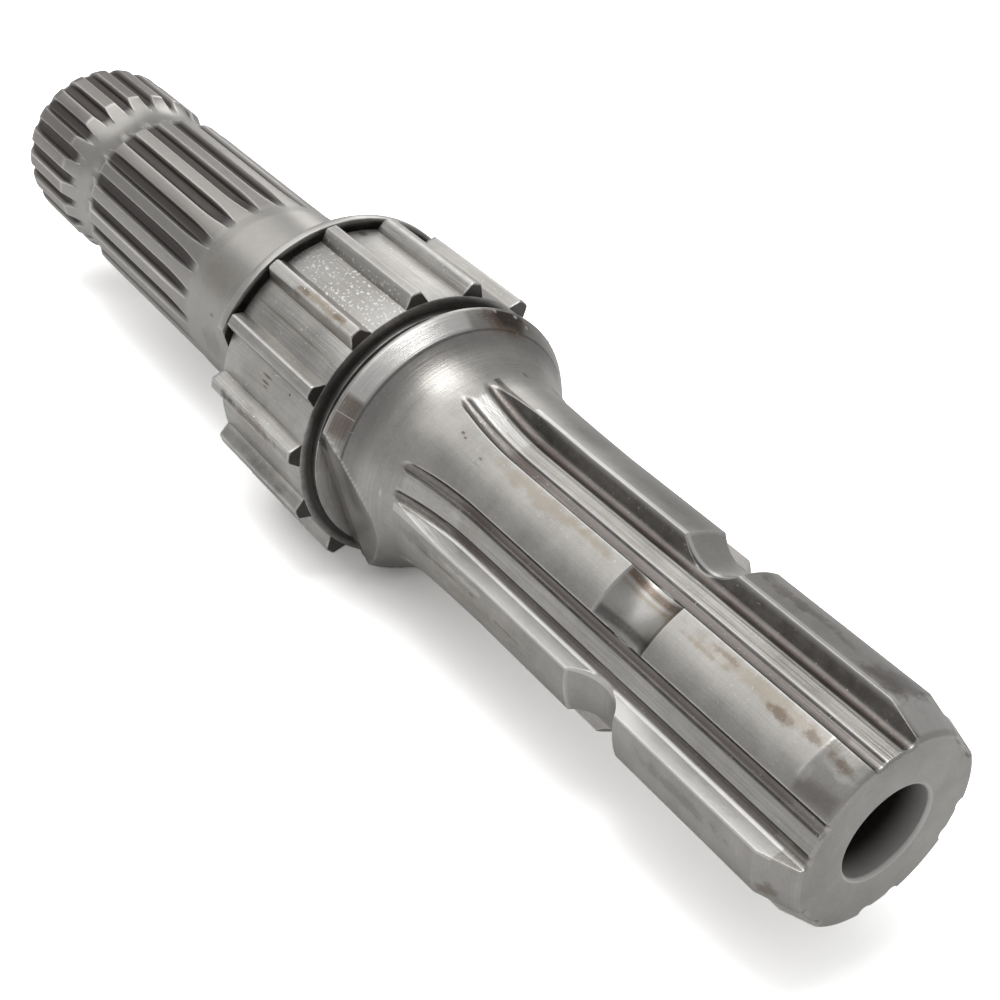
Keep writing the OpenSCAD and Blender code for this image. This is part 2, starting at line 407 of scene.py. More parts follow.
def gap_section(n, s):
    """Half cross-section of a gap at s, from its middle to its edge, as turns and radii."""
    def side(x):
        """Side offset of the flank at radial distance x."""
        return (x * 0.5 - n.tooth_w / 2) / math.cos(math.radians(30))

    land, deep = n.land_r, n.channel_depth
    outline = [
        (land, 0.0),
        (land, n.land_w / 2 - 0.15),
        (land - 0.04, n.land_w / 2),
        (land - deep * 0.85, n.channel_mid - 0.45),
        (land - deep, n.channel_mid),
        (land - deep * 0.86, (side(land) + n.channel_mid) / 2),
        (land - 0.12, side(land - 0.12)),
        (land + 0.3, side(land + 0.3)),
    ]
    outline += [(x, side(x)) for x in np.linspace(land + 0.6, 19.5, 40)]
    x, y = np.array(outline).T
    centre = land - deep + n.cutter_r
    lift = max(s - n.run_start, 0)
    x = centre - np.sqrt((centre - x) ** 2 - lift ** 2)
    return np.degrees(np.arctan2(y, x)), np.hypot(x, y)


def floor_and_wall(foot, edge, low, high):
    """Turns from the middle of a gap to its foot, and from there to its edge, in so many steps."""
    return np.concatenate([np.linspace(0, foot, low + 1)[:-1], np.linspace(foot, edge, high + 1)])


def half_gap_ring(n, s, low=14, high=10):
    """Turns and cut radii of half a gap at s, and the turn of its edge."""
    body = near_body_radius(n, s)
    turn, radius = gap_section(n, s)
    flank = 7
    edge = np.interp(body, radius[flank:], turn[flank:]) if radius[flank] < body else turn[flank]
    steps = floor_and_wall(turn[flank - 1], edge, low, high)
    return steps, np.interp(steps, turn, radius), edge


def mirrored_ring(one, radius, step, first, count):
    """Whole ring from half a repeat, mirrored about its middle and turned round the axis."""
    turns = []
    radii = []
    for i in range(count):
        middle = first + step * i
        turns += [middle - one[:0:-1], middle + one[:-1]]
        radii += [radius[:0:-1], radius[:-1]]
    return np.concatenate(turns), np.concatenate(radii)


def spline_ring(n, s, tops=12):
    """Whole ring of turns and radii at s through six gaps and six splines."""
    turn, cut, edge = half_gap_ring(n, s)
    body = near_body_radius(n, s)
    top_turn = edge + (30 - edge) * (1 - np.cos(np.linspace(0, math.pi / 2, tops + 1)[1:])) ** 0.8
    one = np.concatenate([turn, top_turn])
    radius = soft_min(np.concatenate([cut, np.full(tops, PAST_CUTS)]), body, EDGE_SOFT)
    return mirrored_ring(one, radius, 60, n.first_turn + 30, 6)


def flat_ring(c, turn, body):
    """Radii of a round body of that radius, cut by the milled flat."""
    facing = np.cos(np.radians((turn - c.flat_turn + 180) % 360 - 180))
    least = 0.3
    plane = np.where(facing > least, c.flat_dist / np.maximum(facing, least), PAST_CUTS)
    return soft_min(plane, np.full_like(turn, body), 0.06)


def align_to_flat(c, turn, body):
    """Moves the nearest turns of a ring onto the edges of the flat."""
    if body <= c.flat_dist + 0.02:
        return turn
    half = math.degrees(math.acos(c.flat_dist / body))
    moved = turn.copy()
    for edge in (c.flat_turn - half, c.flat_turn + half):
        off = (turn - edge + 180) % 360 - 180
        nearest = np.argmin(np.abs(off))
        moved[nearest] = turn[nearest] - off[nearest]
    return moved


def shoulder_profile(n, c):
    """Distance and radius of the shoulder from the fillet to the collar."""
    end = math.acos(1 - (n.fillet_end_r - n.plain_r) / n.fillet_r)
    arc = list(np.linspace(math.asin(6.0 / n.fillet_r), end, 16))
    arc.insert(-1, end - 0.006)
    fillet = [(n.fillet_start + n.fillet_r * math.sin(t), n.plain_r + n.fillet_r * (1 - math.cos(t)))
              for t in arc]
    s1, r1 = fillet[-1]
    bevel = [(s1 + (n.crest_pos - s1) * t, r1 + (n.crest_r - r1) * t) for t in (0.03, 0.35, 0.7, 0.92)]
    top = n.crest_r
    drop = 0.12
    crest = [(n.crest_pos + 0.02, top - 0.02), (n.crest_pos + 0.25, top), (n.crest_pos + 0.6, top),
             (n.crest_pos + 0.85, top - drop)]
    ring = c.pos - n.ring_w
    start = crest[-1][0]
    strip = [(start + (ring - start) * t, top - drop + (n.ring_r - top + drop) * t)
             for t in (0.3, 0.6, 0.9, 1.0)]
    return fillet + bevel + crest + strip


def near_steps(n):
    """Distances of the rings along the splines and their run-outs."""
    edge = math.sqrt(n.lock_r ** 2 - (n.lock_r + n.land_r - n.spline_r) ** 2)
    steps = [2.0, 4.0, 5.6, 5.9, 6.1, 6.4]
    steps += list(np.arange(9, 33, 3.0))
    steps += [n.lock_pos - edge - 0.3, n.lock_pos - edge - 0.1]
    steps += list(n.lock_pos + np.linspace(-edge, edge, 25))
    steps += [n.lock_pos + edge + 0.1, n.lock_pos + edge + 0.3]
    steps += list(np.arange(48, n.run_start, 3.0))
    return steps + list(np.arange(n.run_start, n.fillet_start + 5.9, 0.45))


def near_stations(n, c):
    """Stations of the near skin, from the bottom of the bore to the collar."""
    face_turn, face_r = spline_ring(n, 0.0)
    wall, mouth = n.bore_r, n.bore_mouth
    rows = [(n.bore_depth + 4.5, face_turn, 0.01, 0.01), (n.bore_depth, face_turn, wall, wall)]
    rows += [(s, face_turn, wall, wall) for s in (25.0, 12.0, 5.0, 2.0)]
    rows += [(mouth * (1 - math.sin(t)), face_turn, wall + mouth * (1 - math.cos(t)), 0.0)
             for t in np.linspace(0, math.pi / 2, 7)]
    inner = wall + mouth
    rows += [(0.0, face_turn, inner + (face_r - n.rim - inner) * t, 0.0) for t in (0.35, 0.7, 0.96)]
    for t in np.linspace(0, math.pi / 2, 7):
        s = n.rim * (1 - math.cos(t))
        turn, radius = spline_ring(n, s)
        rows.append((s, turn, radius - n.rim * (1 - math.sin(t)), gap_body(n, s, turn, radius)))
    for s in near_steps(n):
        turn, radius = spline_ring(n, s)
        rows.append((s, turn, radius, gap_body(n, s, turn, radius)))
    last = rows[-1][1]
    even = last[0] + np.arange(len(last)) * 360.0 / len(last)
    rings_to_even = 10
    for place, (s, r) in enumerate(shoulder_profile(n, c)):
        t = min(1.0, (place + 1) / rings_to_even)
        turn = align_to_flat(c, last * (1 - t) + even * t, r)
        rows.append((s, turn, flat_ring(c, turn, r), 0.0))
    ring = c.pos - n.ring_w
    rows += [(s, even, np.full_like(even, r), 0.0) for s, r in (
        (ring, n.ring_r - 0.12), (ring + 0.04, n.ring_r - 0.03), (ring + 0.15, n.ring_r),
        (c.pos + 0.05, n.ring_r))]
    return rows


# Collar skin: front face, root, relief groove

# Points round the collar
COLLAR_AROUND = 224

# Rounded corner of a turned edge, as distances along the shaft and below the rim
CORNER = ((0.0, 0.12), (0.04, 0.03), (0.14, 0.0))

# Ends of a tooth: distance from the end, share of the full height, edge wear or -1 for none anywhere
TOOTH_FRONT = ((0.0, 0.84, -1.0), (0.0, 0.88, 0.3), (0.06, 0.95, 1.0), (0.18, 0.99, 0.9), (0.5, 1.0, 0.1))
TOOTH_REAR = ((0.12, 0.99, 0.5), (0.03, 0.95, 0.5), (0.0, 0.90, 0.2))


def corner(s, radius, way=1):
    """Corner of a turned edge at s, from its face to its rim, or from rim to face with way at -1."""
    return [(s + way * along, radius - below) for along, below in CORNER[::way]]


def collar_stations(n, c):
    """Stations of the collar skin, from the ring in front to the face that the cut disc leaves bare."""
    turn = np.arange(COLLAR_AROUND) * 360.0 / COLLAR_AROUND
    front, back = c.pos, c.pos + c.long
    disc = back + c.relief_w
    profile = [(front, n.ring_r - 1.2), (front, n.ring_r + 0.9), *corner(front, c.root_r)]
    profile += [(front + 9, c.root_r), (front + 18, c.root_r), *corner(back, c.root_r, -1)]
    profile += [(back + 0.02, c.relief_r + 0.12), (back + 0.14, c.relief_r), (disc - 0.14, c.relief_r)]
    profile += [(disc - 0.01, c.relief_r), (disc, c.relief_r), (disc, c.flat_dist - 1)]
    return [(s, turn, np.full_like(turn, r), 0.0) for s, r in profile]


def tooth_section(c):
    """Cross-section of a tooth as (side, height, edge wear), from one foot to the other."""
    half_tip, half_foot = c.tip_w / 2, c.foot_w / 2
    crown = math.sqrt(c.tip_r ** 2 - half_tip ** 2) - 0.01
    slope = [(half_foot + (half_tip - half_foot) * t, c.root_r + (crown - c.root_r) * t)
             for t in (0.4, 0.75, 0.9)]
    side = [(half_foot, c.root_r - 0.35, 0.0), (half_foot - 0.02, c.root_r + 0.02, 0.0)]
    side += [(y, z, 0.0) for y, z in slope[:2]]
    side += [(*slope[2], 0.5), (half_tip - 0.12, crown - 0.03, 1.0), (half_tip * 0.6, crown, 0.25)]
    return side + [(0.0, crown, 0.0)] + [(-y, z, w) for y, z, w in side[::-1]]


def tooth_object(c, material):
    """One collar tooth with worn corners, standing on the collar at the top of the shaft."""
    section = tooth_section(c)
    long = c.long - c.short
    stations = list(TOOTH_FRONT)
    stations += [(long * t, 1.0, 0.0) for t in (0.1, 0.25, 0.4, 0.55, 0.7, 0.85, 0.97)]
    stations += [(long - back, grow, bright) for back, grow, bright in TOOTH_REAR]
    points = []
    wear = []
    for s, grow, bright in stations:
        for y, z, edge in section:
            lift = c.root_r + max(z - c.root_r, 0) * grow + min(z - c.root_r, 0)
            points.append((SHAFT_LEN / 2 - c.pos - s, -y * (0.5 + grow / 2), lift))
            worn = max(edge, bright if z > c.root_r + 0.1 else 0.0)
            wear.append(worn if bright >= 0 else 0.0)
    around = len(section)
    last = (len(stations) - 1) * around
    faces = [(i * around + j + 1, (i + 1) * around + j + 1, (i + 1) * around + j, i * around + j)
             for i in range(len(stations) - 1) for j in range(around - 1)]
    faces += [tuple(range(around))[::-1], tuple(range(last, last + around))]
    return steel_object("one_tooth", points, faces, [0.0] * len(points), wear, material)


def tooth_ring_tree(c, material):
    """Node tree that stands copies of one tooth round the collar."""
    tree = bpy.data.node_groups.new("tooth_ring", "GeometryNodeTree")
    tree.interface.new_socket(name="Geometry", in_out="INPUT", socket_type="NodeSocketGeometry")
    for label, kind, default in (
        ("Teeth", "NodeSocketInt", c.teeth),
        ("Axis height", "NodeSocketFloat", AXIS_H * MM),
        ("Worn short", "NodeSocketFloat", 0.004),
        ("Seed", "NodeSocketInt", c.seed),
    ):
        tree.interface.new_socket(name=label, in_out="INPUT", socket_type=kind).default_value = default
    tree.interface.new_socket(name="Geometry", in_out="OUTPUT", socket_type="NodeSocketGeometry")
    given = tree.nodes.new("NodeGroupInput").outputs
    result = tree.nodes.new("NodeGroupOutput")
    points = add(tree, "GeometryNodePoints", {"Count": given["Teeth"]})
    index = tree.nodes.new("GeometryNodeInputIndex")
    step = maths(tree, "DIVIDE", 2 * math.pi, given["Teeth"])
    turn = maths(tree, "MULTIPLY", maths(tree, "ADD", index.outputs[0], 0.5), step)
    angles = add(tree, "ShaderNodeCombineXYZ", {"X": turn})
    wear = add(tree, "FunctionNodeRandomValue", {"Seed": given["Seed"]}, data_type="FLOAT")
    less = maths(tree, "MULTIPLY", wear.outputs["Value"], given["Worn short"])
    scale = add(tree, "ShaderNodeCombineXYZ", {
        "X": maths(tree, "SUBTRACT", 1.0, less), "Y": 1.0, "Z": 1.0,
    })
    ring = add(tree, "GeometryNodeInstanceOnPoints", {
        "Points": points.outputs[0], "Instance": given["Geometry"],
        "Rotation": angles.outputs[0], "Scale": scale.outputs[0],
    })
    place = add(tree, "ShaderNodeCombineXYZ", {"Z": given["Axis height"]})
    moved = add(tree, "GeometryNodeTransform", {
        "Geometry": ring.outputs[0], "Translation": place.outputs[0],
    })
    real = add(tree, "GeometryNodeRealizeInstances", {"Geometry": moved.outputs[0]})
    steel = add(tree, "GeometryNodeSetMaterial", {"Geometry": real.outputs[0], "Material": material})
    tree.links.new(steel.outputs[0], result.inputs[0])
    return tree


def plain_mesh_of(carrier, tree, name):
    """Result of a node tree on an object, as a plain mesh object of that name."""
    modifier = carrier.modifiers.new("ring", "NODES")
    modifier.node_group = tree
    bpy.context.view_layer.update()
    graph = bpy.context.evaluated_depsgraph_get()
    mesh = bpy.data.meshes.new_from_object(carrier.evaluated_get(graph), depsgraph=graph)
    mesh.name = name
    bpy.data.objects.remove(carrier, do_unlink=True)
    return placed(name, mesh)


# Far skin: disc, journal, fine splines

def fine_body_radius(f, s):
    """Radius of the turned far end before its grooves."""
    left = SHAFT_LEN - s
    stepped = (f.fine_len + f.step_len - left) / f.step_len
    r = f.journal_r + (f.fine_r - f.journal_r) * min(max(stepped, 0), 1)
    if left < f.entry_len:
        r = f.face_r + (f.fine_r - f.face_r) * math.sqrt(max(0.0, 1 - (1 - left / f.entry_len) ** 2))
    neck_r = (f.neck_w ** 2 / 4 + f.neck_depth ** 2) / (2 * f.neck_depth)
    d = abs(s - (SHAFT_LEN - f.neck_pos))
    if d < f.neck_w / 2:
        r = min(r, f.fine_r - f.neck_depth + neck_r - math.sqrt(neck_r ** 2 - d * d))
    return r


def fine_ring(f, s, low=4, high=4, tops=4):
    """Ring of the fine grooves and splines at s."""
    floor_r = f.fine_r - f.depth
    run = f.cutter_r * math.sin(math.acos(1 - f.depth / f.cutter_r))
    lift = max(SHAFT_LEN - f.fine_len + run - s, 0)
    centre = floor_r + f.cutter_r
    body = fine_body_radius(f, s)
    x = np.array([floor_r, floor_r, floor_r + 0.12, *np.linspace(floor_r + 0.3, f.fine_r + 2, 20)])
    y = f.floor_w / 2 + (f.top_w - f.floor_w) / 2 / f.depth * (x - floor_r)
    y[0] = 0
    y[1] -= 0.25
    x = centre - np.sqrt((centre - x) ** 2 - lift ** 2)
    turn = np.degrees(np.arctan2(y, x))
    radius = np.hypot(x, y)
    edge = max(np.interp(body, radius[2:], turn[2:]), turn[2] + 0.4)
    steps = floor_and_wall(turn[2], edge, low, high)
    half = 180 / f.grooves
    one = np.concatenate([steps, edge + (half - edge) * np.linspace(0, 1, tops + 1)[1:]])
    cut = np.concatenate([np.interp(steps, turn, radius), np.full(tops, PAST_CUTS)])
    return mirrored_ring(one, soft_min(cut, body, EDGE_SOFT), 2 * half, f.first_turn, f.grooves)


def fine_steps(f):
    """Distances of the rings along the fine splines."""
    tip = SHAFT_LEN - f.fine_len
    neck = SHAFT_LEN - f.neck_pos
    half = f.neck_w / 2 + 1
    steps = list(np.arange(tip - 4, tip + 14, 0.5))
    steps += list(np.arange(tip + 14, neck - half, 3.0))
    steps += list(np.linspace(neck - half, neck + half, 33))
    steps += list(np.arange(neck + half + 1, SHAFT_LEN - f.entry_len - 0.5, 2.0))
    entry = (1.1, 1.0, 0.85, 0.65, 0.45, 0.3, 0.15, 0.03, 0.0)
    return steps + [SHAFT_LEN - f.entry_len * t for t in entry]


def far_stations(c, f):
    """Stations of the disc and the far end, from the relief groove to the far face."""
    steps = fine_steps(f)
    grooved = fine_ring(f, steps[0])[0]
    even = grooved[0] + np.arange(len(grooved)) * 360.0 / len(grooved)
    disc = c.pos + c.long + c.relief_w
    end = disc + c.disc_w
    rim = c.disc_r
    top = f.journal_r + f.fillet_r
    profile = [(disc, c.relief_r - 0.5), (disc, rim - 0.9), *corner(disc, rim)]
    profile += [(end - 0.14, rim), (end - 0.03, rim - 0.04), (end, rim - 0.14)]
    profile += [(end + 0.05, rim - 0.6), (end + 0.2, top + 0.6)]
    profile += [(end + f.lip + f.fillet_r * (1 - math.cos(t)), top - f.fillet_r * math.sin(t))
                for t in np.linspace(0, math.pi / 2, 14)]
    rows = []
    for s, r in profile:
        turn = align_to_flat(c, even, r)
        rows.append((s, turn, flat_ring(c, turn, r), 0.0))
    foot = profile[-1][0]
    rows += [(foot + (steps[0] - foot) * t, even * (1 - t) + grooved * t, f.journal_r, 0.0)
             for t in np.linspace(0.05, 0.95, 12)]
    rows += [(s, *fine_ring(f, s), fine_body_radius(f, s)) for s in steps]
    turn, radius = fine_ring(f, SHAFT_LEN)
    rows += [(SHAFT_LEN, turn, radius * t, 0.0) for t in (0.98, 0.7, 0.4, 0.1, 0.001)]
    return rows


# Shared shader groups

def new_group(name, inputs, outputs):
    """Shader group with float inputs, given as name and default, and its outputs."""
    tree = bpy.data.node_groups.new(name, "ShaderNodeTree")
    for label, default in inputs:
        tree.interface.new_socket(
            name=label, in_out="INPUT", socket_type="NodeSocketFloat").default_value = default
    for label in outputs:
        tree.interface.new_socket(name=label, in_out="OUTPUT", socket_type="NodeSocketFloat")
    given = tree.nodes.new("NodeGroupInput").outputs
    return tree, given, tree.nodes.new("NodeGroupOutput")


def give(tree, result, *values):
    """Links values to the outputs of a group in order, and returns its tree."""
    for socket, value in zip(result.inputs, values):
        tree.links.new(value, socket)
    return tree


def places_group():
    """Group that gives the distance along the shaft, the turn in degrees and the radius."""
    tree, _, result = new_group("shaft_places", [], ["Along", "Turn", "Radius"])
    where = tree.nodes.new("ShaderNodeTexCoord")
    x, y, z = add(tree, "ShaderNodeSeparateXYZ", {0: where.outputs["Object"]}).outputs
    along = maths(tree, "MULTIPLY_ADD", x, -1 / MM, SHAFT_LEN / 2)
    up = maths(tree, "MULTIPLY_ADD", z, 1 / MM, -AXIS_H)
    out = maths(tree, "MULTIPLY", y, -1 / MM)
    turn = maths(tree, "MULTIPLY", maths(tree, "ARCTAN2", out, up), 180 / math.pi)
    radius = maths(tree, "SQRT", maths(tree, "MULTIPLY_ADD", up, up, maths(tree, "MULTIPLY", out, out)))
    return give(tree, result, along, turn, radius)


def window_group():
    """Group that is 1 between two levels of a value, with soft ends."""
    inputs = [("Value", 0), ("Low", 0), ("High", 1), ("Soft", 0.2)]
    tree, given, result = new_group("window", inputs, ["Mask"])
    value, low, high, soft = (given[label] for label, _ in inputs)
    rise = ramped(tree, value, maths(tree, "SUBTRACT", low, soft), maths(tree, "ADD", low, soft))
    full, none = maths(tree, "SUBTRACT", high, soft), maths(tree, "ADD", high, soft)
    fall = ramped(tree, value, full, none, 1.0, 0.0)
    return give(tree, result, maths(tree, "MULTIPLY", rise, fall))


def spot_group():
    """Group for a ragged spot at a place on the shaft."""
    inputs = [("Along", 0), ("Turn", 0), ("Rag", 0), ("At", 0), ("Angle", 0)]
    inputs += [("Length", 1), ("Width", 1), ("Ragged", 0.6)]
    tree, given, result = new_group("spot", inputs, ["Mask"])
    far = maths(tree, "DIVIDE", maths(tree, "SUBTRACT", given["Along"], given["At"]), given["Length"])
    off = maths(tree, "DIVIDE", maths(tree, "SUBTRACT", given["Turn"], given["Angle"]), given["Width"])
    reach = maths(tree, "SQRT", maths(tree, "MULTIPLY_ADD", far, far, maths(tree, "MULTIPLY", off, off)))
    shift = maths(tree, "MULTIPLY", given["Ragged"], 3.0)
    edge = maths(tree, "MULTIPLY_ADD", given["Rag"], shift, reach)
    full, none = 0.35, 1.05
    return give(tree, result, ramped(tree, edge, full, none, 1.0, 0.0))


# Scales of the grain, for each millimetre along the shaft in the first and for each metre in the rest
RING_SCALE = 5.2
RING_ACROSS = 60.0
LINE_SCALE = (85, 3800, 3800)
PIT_SCALE = 3600.0
RAG_SCALE = 420.0
CLOUD_SCALE = 110.0
SPECK_SCALE = 1900.0


def grain_group():
    """Group for the grain of machined steel: clouds, lines round the axis, lines along it."""
    inputs = [("Along", 0), ("Radius", 0), ("Round lines", 0.5), ("Long lines", 0.2), ("Clouds", 1.0)]
    tree, given, result = new_group("grain", inputs, ["Shade", "Roughness", "Height", "Rag", "Specks"])
    where = tree.nodes.new("ShaderNodeTexCoord").outputs["Object"]
    _, y, z = add(tree, "ShaderNodeSeparateXYZ", {0: where}).outputs
    reach = maths(tree, "MULTIPLY_ADD", given["Radius"], 0.8, given["Along"])
    turned = add(tree, "ShaderNodeCombineXYZ", {
        "X": maths(tree, "MULTIPLY", reach, RING_SCALE),
        "Y": maths(tree, "MULTIPLY", y, RING_ACROSS),
        "Z": maths(tree, "MULTIPLY", z, RING_ACROSS),
    })
    pulled = add(tree, "ShaderNodeMapping", {"Vector": where, "Scale": LINE_SCALE})
    rings = maths(tree, "MULTIPLY", noise(tree, turned.outputs[0], 1.0, 3.0, 0.6), given["Round lines"])
    lines = noise(tree, pulled.outputs[0], 1.0, 3.0, 0.6)
    both = maths(tree, "MULTIPLY_ADD", lines, given["Long lines"], rings)
    pits = noise(tree, where, PIT_SCALE, 2.0, 0.6)
    rag = noise(tree, where, RAG_SCALE, 4.0, 0.65)
    cloud = maths(tree, "MULTIPLY", noise(tree, where, CLOUD_SCALE, 4.0, 0.6), given["Clouds"])
    shade = 1.0
    for part, strength in ((cloud, 0.8), (rag, 0.20), (both, 0.75), (pits, 0.22)):
        shade = maths(tree, "MULTIPLY_ADD", part, strength, shade)
    rough = 0.34
    for part, strength in ((cloud, 0.22), (pits, 0.14)):
        rough = maths(tree, "MULTIPLY_ADD", part, strength, rough)
    height = maths(tree, "MULTIPLY_ADD", pits, 0.25, both)
    specks = noise(tree, where, SPECK_SCALE, 1.0, 0.5)
    return give(tree, result, shade, rough, height, rag, specks)


# Marks on the steel, together with painted shade and painted highlights
# Spots: tint, distance, turn, half length, half width in degrees, raggedness, strength
# Bands: tint, distances from and to, turns from and to, softness, strength

NEAR_SPOTS = (
    ("tan", 64, 36.0, 15, 5.0, 0.6, 0.50),
    ("tan", 52, 35.0, 6, 3.0, 0.6, 0.45),
    ("tan", 17, 36.0, 16, 4.6, 0.6, 0.50),
    ("tan", 28, 40.0, 7, 2.0, 0.7, 0.60),
    ("brown", 74, 101, 9.0, 1.3, 0.7, 0.55),
    ("brown", 58, 104, 7.0, 1.0, 0.8, 0.50),
    ("tan", 66, 108, 14, 4.0, 0.8, 0.45),
    ("dulled_and_shaded", 82, 100, 6.0, 5.0, 0.7, 0.40),
    ("bright_wear_and_highlight", 70, 97, 8.0, 2.0, 0.9, 0.50),
    ("bright_wear_and_highlight", 2.6, 41.0, 2.4, 3.0, 0.7, 0.50),
    ("bright_wear_and_highlight", 5.6, 50.0, 1.2, 5.0, 0.7, 0.45),
    ("brown", 24, 35.4, 3.0, 1.8, 0.9, 0.45),
    ("brown", 13, 39.2, 2.2, 3.2, 0.6, 0.75),
    ("brown", 8, 37.5, 1.8, 2.6, 0.9, 0.50),
    ("brown", 3, 38.0, 2.2, 4.0, 0.6, 0.65),
    ("brown", 9, -8.0, 4.0, 5.0, 0.8, 0.50),
    ("brown", 4, 112, 2.4, 5.0, 0.7, 0.55),
    ("dulled_and_shaded", 20, 101, 9.0, 4.0, 0.9, 0.40),
    ("dulled_and_shaded", 8.5, -14.3, 4.5, 13, 0.7, 0.60),
    ("plum", 26, -14.3, 10, 5, 1.0, 0.45),
    ("brown", 83, 36.7, 0.5, 1.1, 0.5, 0.85),
    ("brown", 82, 37.9, 0.4, 0.8, 0.5, 0.85),
    ("brown", 77, 40.7, 0.5, 0.9, 0.5, 0.70),
    ("brown", 90, -17.3, 0.8, 1.2, 0.5, 0.70),
    ("bright_wear_and_highlight", 91, 88, 0.25, 3.2, 0.5, 0.70),
    ("brown", 99.6, -20, 3.4, 17, 0.30, 0.88),
    ("dark", 99.8, -21, 2.4, 11, 0.4, 0.80),
    ("bright_wear_and_highlight", 100.6, -14, 0.5, 1.2, 0.8, 0.90),
    ("bright_wear_and_highlight", 100.3, -25, 0.4, 1.6, 0.9, 0.90),
    ("bright_wear_and_highlight", 99.2, -31, 0.4, 1.2, 0.9, 0.80),
)
NEAR_GAPS = (
    # The dark rows in the gaps are painted shade along the walls of the relief channels
    ("plum", 0.6, 91, 3.4, 9.0, 0.7, 0.74),
    ("dark", 0.6, 90, 8.8, 10.5, 0.4, 0.70),
    ("dark", 0.6, 91, 20.8, 22.6, 0.4, 0.84),
    ("plum", 0.6, 90, 22.6, 27.8, 0.6, 0.45),
    ("dark", 0.6, 92, 27.8, 29.8, 0.4, 0.90),
    ("bright_wear_and_highlight", 76, 91, 11.0, 20.0, 3.0, 0.60),
    ("plum", 0.6, 82, 12.0, 12.9, 0.3, 0.50),
    ("tan", 0.6, 80, 17.6, 18.6, 0.4, 0.45),
    ("dark", 0.6, 91, 60.5, 64.2, 0.6, 0.86),
    ("plum", 0.6, 90, 64.2, 68.8, 0.7, 0.55),
    ("dark", 0.6, 90, 68.8, 70.6, 0.4, 0.84),
    ("bright_wear_and_highlight", 76, 91, 71.0, 80.0, 3.0, 0.35),
    ("dark", 0.6, 91, 80.8, 82.6, 0.4, 0.84),
    ("plum", 0.6, 90, 82.6, 87.6, 0.7, 0.45),
)
NEAR_BANDS = (
    ("dark", 0.6, 89.5, 0.3, 3.6, 0.6, 0.74),
    # Painted highlight on the entry bevel of the spline at -14.3 degrees
    ("bright_wear_and_highlight", 0.7, 5.6, -28, -1, 1.6, 0.60),
    # Painted highlights along the edges of two splines beside the gaps
    ("bright_wear_and_highlight", 4, 88, 88.0, 92.6, 0.5, 0.80),
    ("bright_wear_and_highlight", 5, 80, -2.6, -0.2, 0.4, 0.95),
    # Locking groove: brown and tan stains, a painted highlight along its middle, and painted shade from 54
    # to 59.5 degrees and along its near wall
    ("brown", 34, 44.6, 31.0, 35.5, 1.2, 0.80),
    ("tan", 34, 44.6, 37.5, 39.5, 0.9, 0.60),
    ("bright_wear_and_highlight", 34.5, 44.2, 42.0, 50.0, 2.5, 0.20),
    ("dark", 34, 44.6, 54.0, 59.5, 1.5, 0.60),
    ("dark", 33.9, 35.2, 31.0, 60.0, 0.5, 0.35),
    ("plum", 0.5, 5.8, 50.0, 59.0, 2.5, 0.45),
    # Painted shade on the end of the shoulder fillet, and a thin line of painted shade where the fillet
    # meets the bevel
    ("dulled_and_shaded", 95.2, 99.0, -60, 110, 6.0, 0.60),
    ("dark", 97.5, 97.8, -60, 110, 0.2, 0.45),
    # Painted highlight on the bevel up to the crest
    ("bright_wear_and_highlight", 98.0, 100.8, 0, 56, 1.6, 0.85),
    ("brown", 97.9, 100.9, 56, 73, 1.6, 0.55),
    ("bright_wear_and_highlight", 97.9, 100.9, 63.4, 63.8, 0.25, 0.80),
)
COLLAR_SPOTS = (
    ("tan", 115, 38.6, 9, 3.0, 0.9, 0.80),
    ("brown", 122, 39.6, 2.6, 2.2, 0.8, 0.65),
    ("brown", 111, 38.0, 2.2, 1.8, 0.8, 0.60),
    ("brown", 118, 90, 9, 2.5, 0.9, 0.65),
    ("dark", 126, 90, 3.0, 2.2, 0.9, 0.70),
    ("brown", 119.5, 73, 1.9, 0.7, 0.3, 0.80),
    ("brown", 119.5, 75.6, 1.6, 0.7, 0.3, 0.80),
    ("brown", 119.2, 77.2, 1.2, 0.5, 0.3, 0.65),
    ("dark", 112.5, 72.2, 0.28, 0.7, 0.1, 1.0),
    ("dark", 131, 0.2, 1.2, 2.4, 0.8, 0.80),
    ("dulled_and_shaded", 118, 116, 12, 6.0, 0.8, 0.50),
)
COLLAR_BANDS = (
    ("brown", 107, 131, 51.2, 52.0, 0.4, 0.45),
    ("tan", 107, 131, 42.4, 43.6, 0.6, 0.35),
    ("dulled_and_shaded", 106.2, 132, 15.5, 36.5, 1.5, 0.28),
    # Painted shade in the relief groove in front of the disc
    ("dark", 132.5, 133.3, -190, 190, 0.4, 0.90),
)
FAR_SPOTS = (
    ("tan", 152, 60, 5, 12, 0.4, 0.25),
    ("brown", 150, 82, 0.9, 1.3, 0.5, 0.50),
    ("dulled_and_shaded", 149, 100, 5, 12, 0.4, 0.35),
)
FAR_BANDS = (
    # Painted shade on the front face of the disc, in the relief groove
    ("dark", 130, 133.46, -190, 190, 0.3, 0.90),
    ("plum", 217, 236, -190, 190, 1.5, 0.34),
    ("plum", 160, 202, -190, 190, 4.0, 0.14),
)

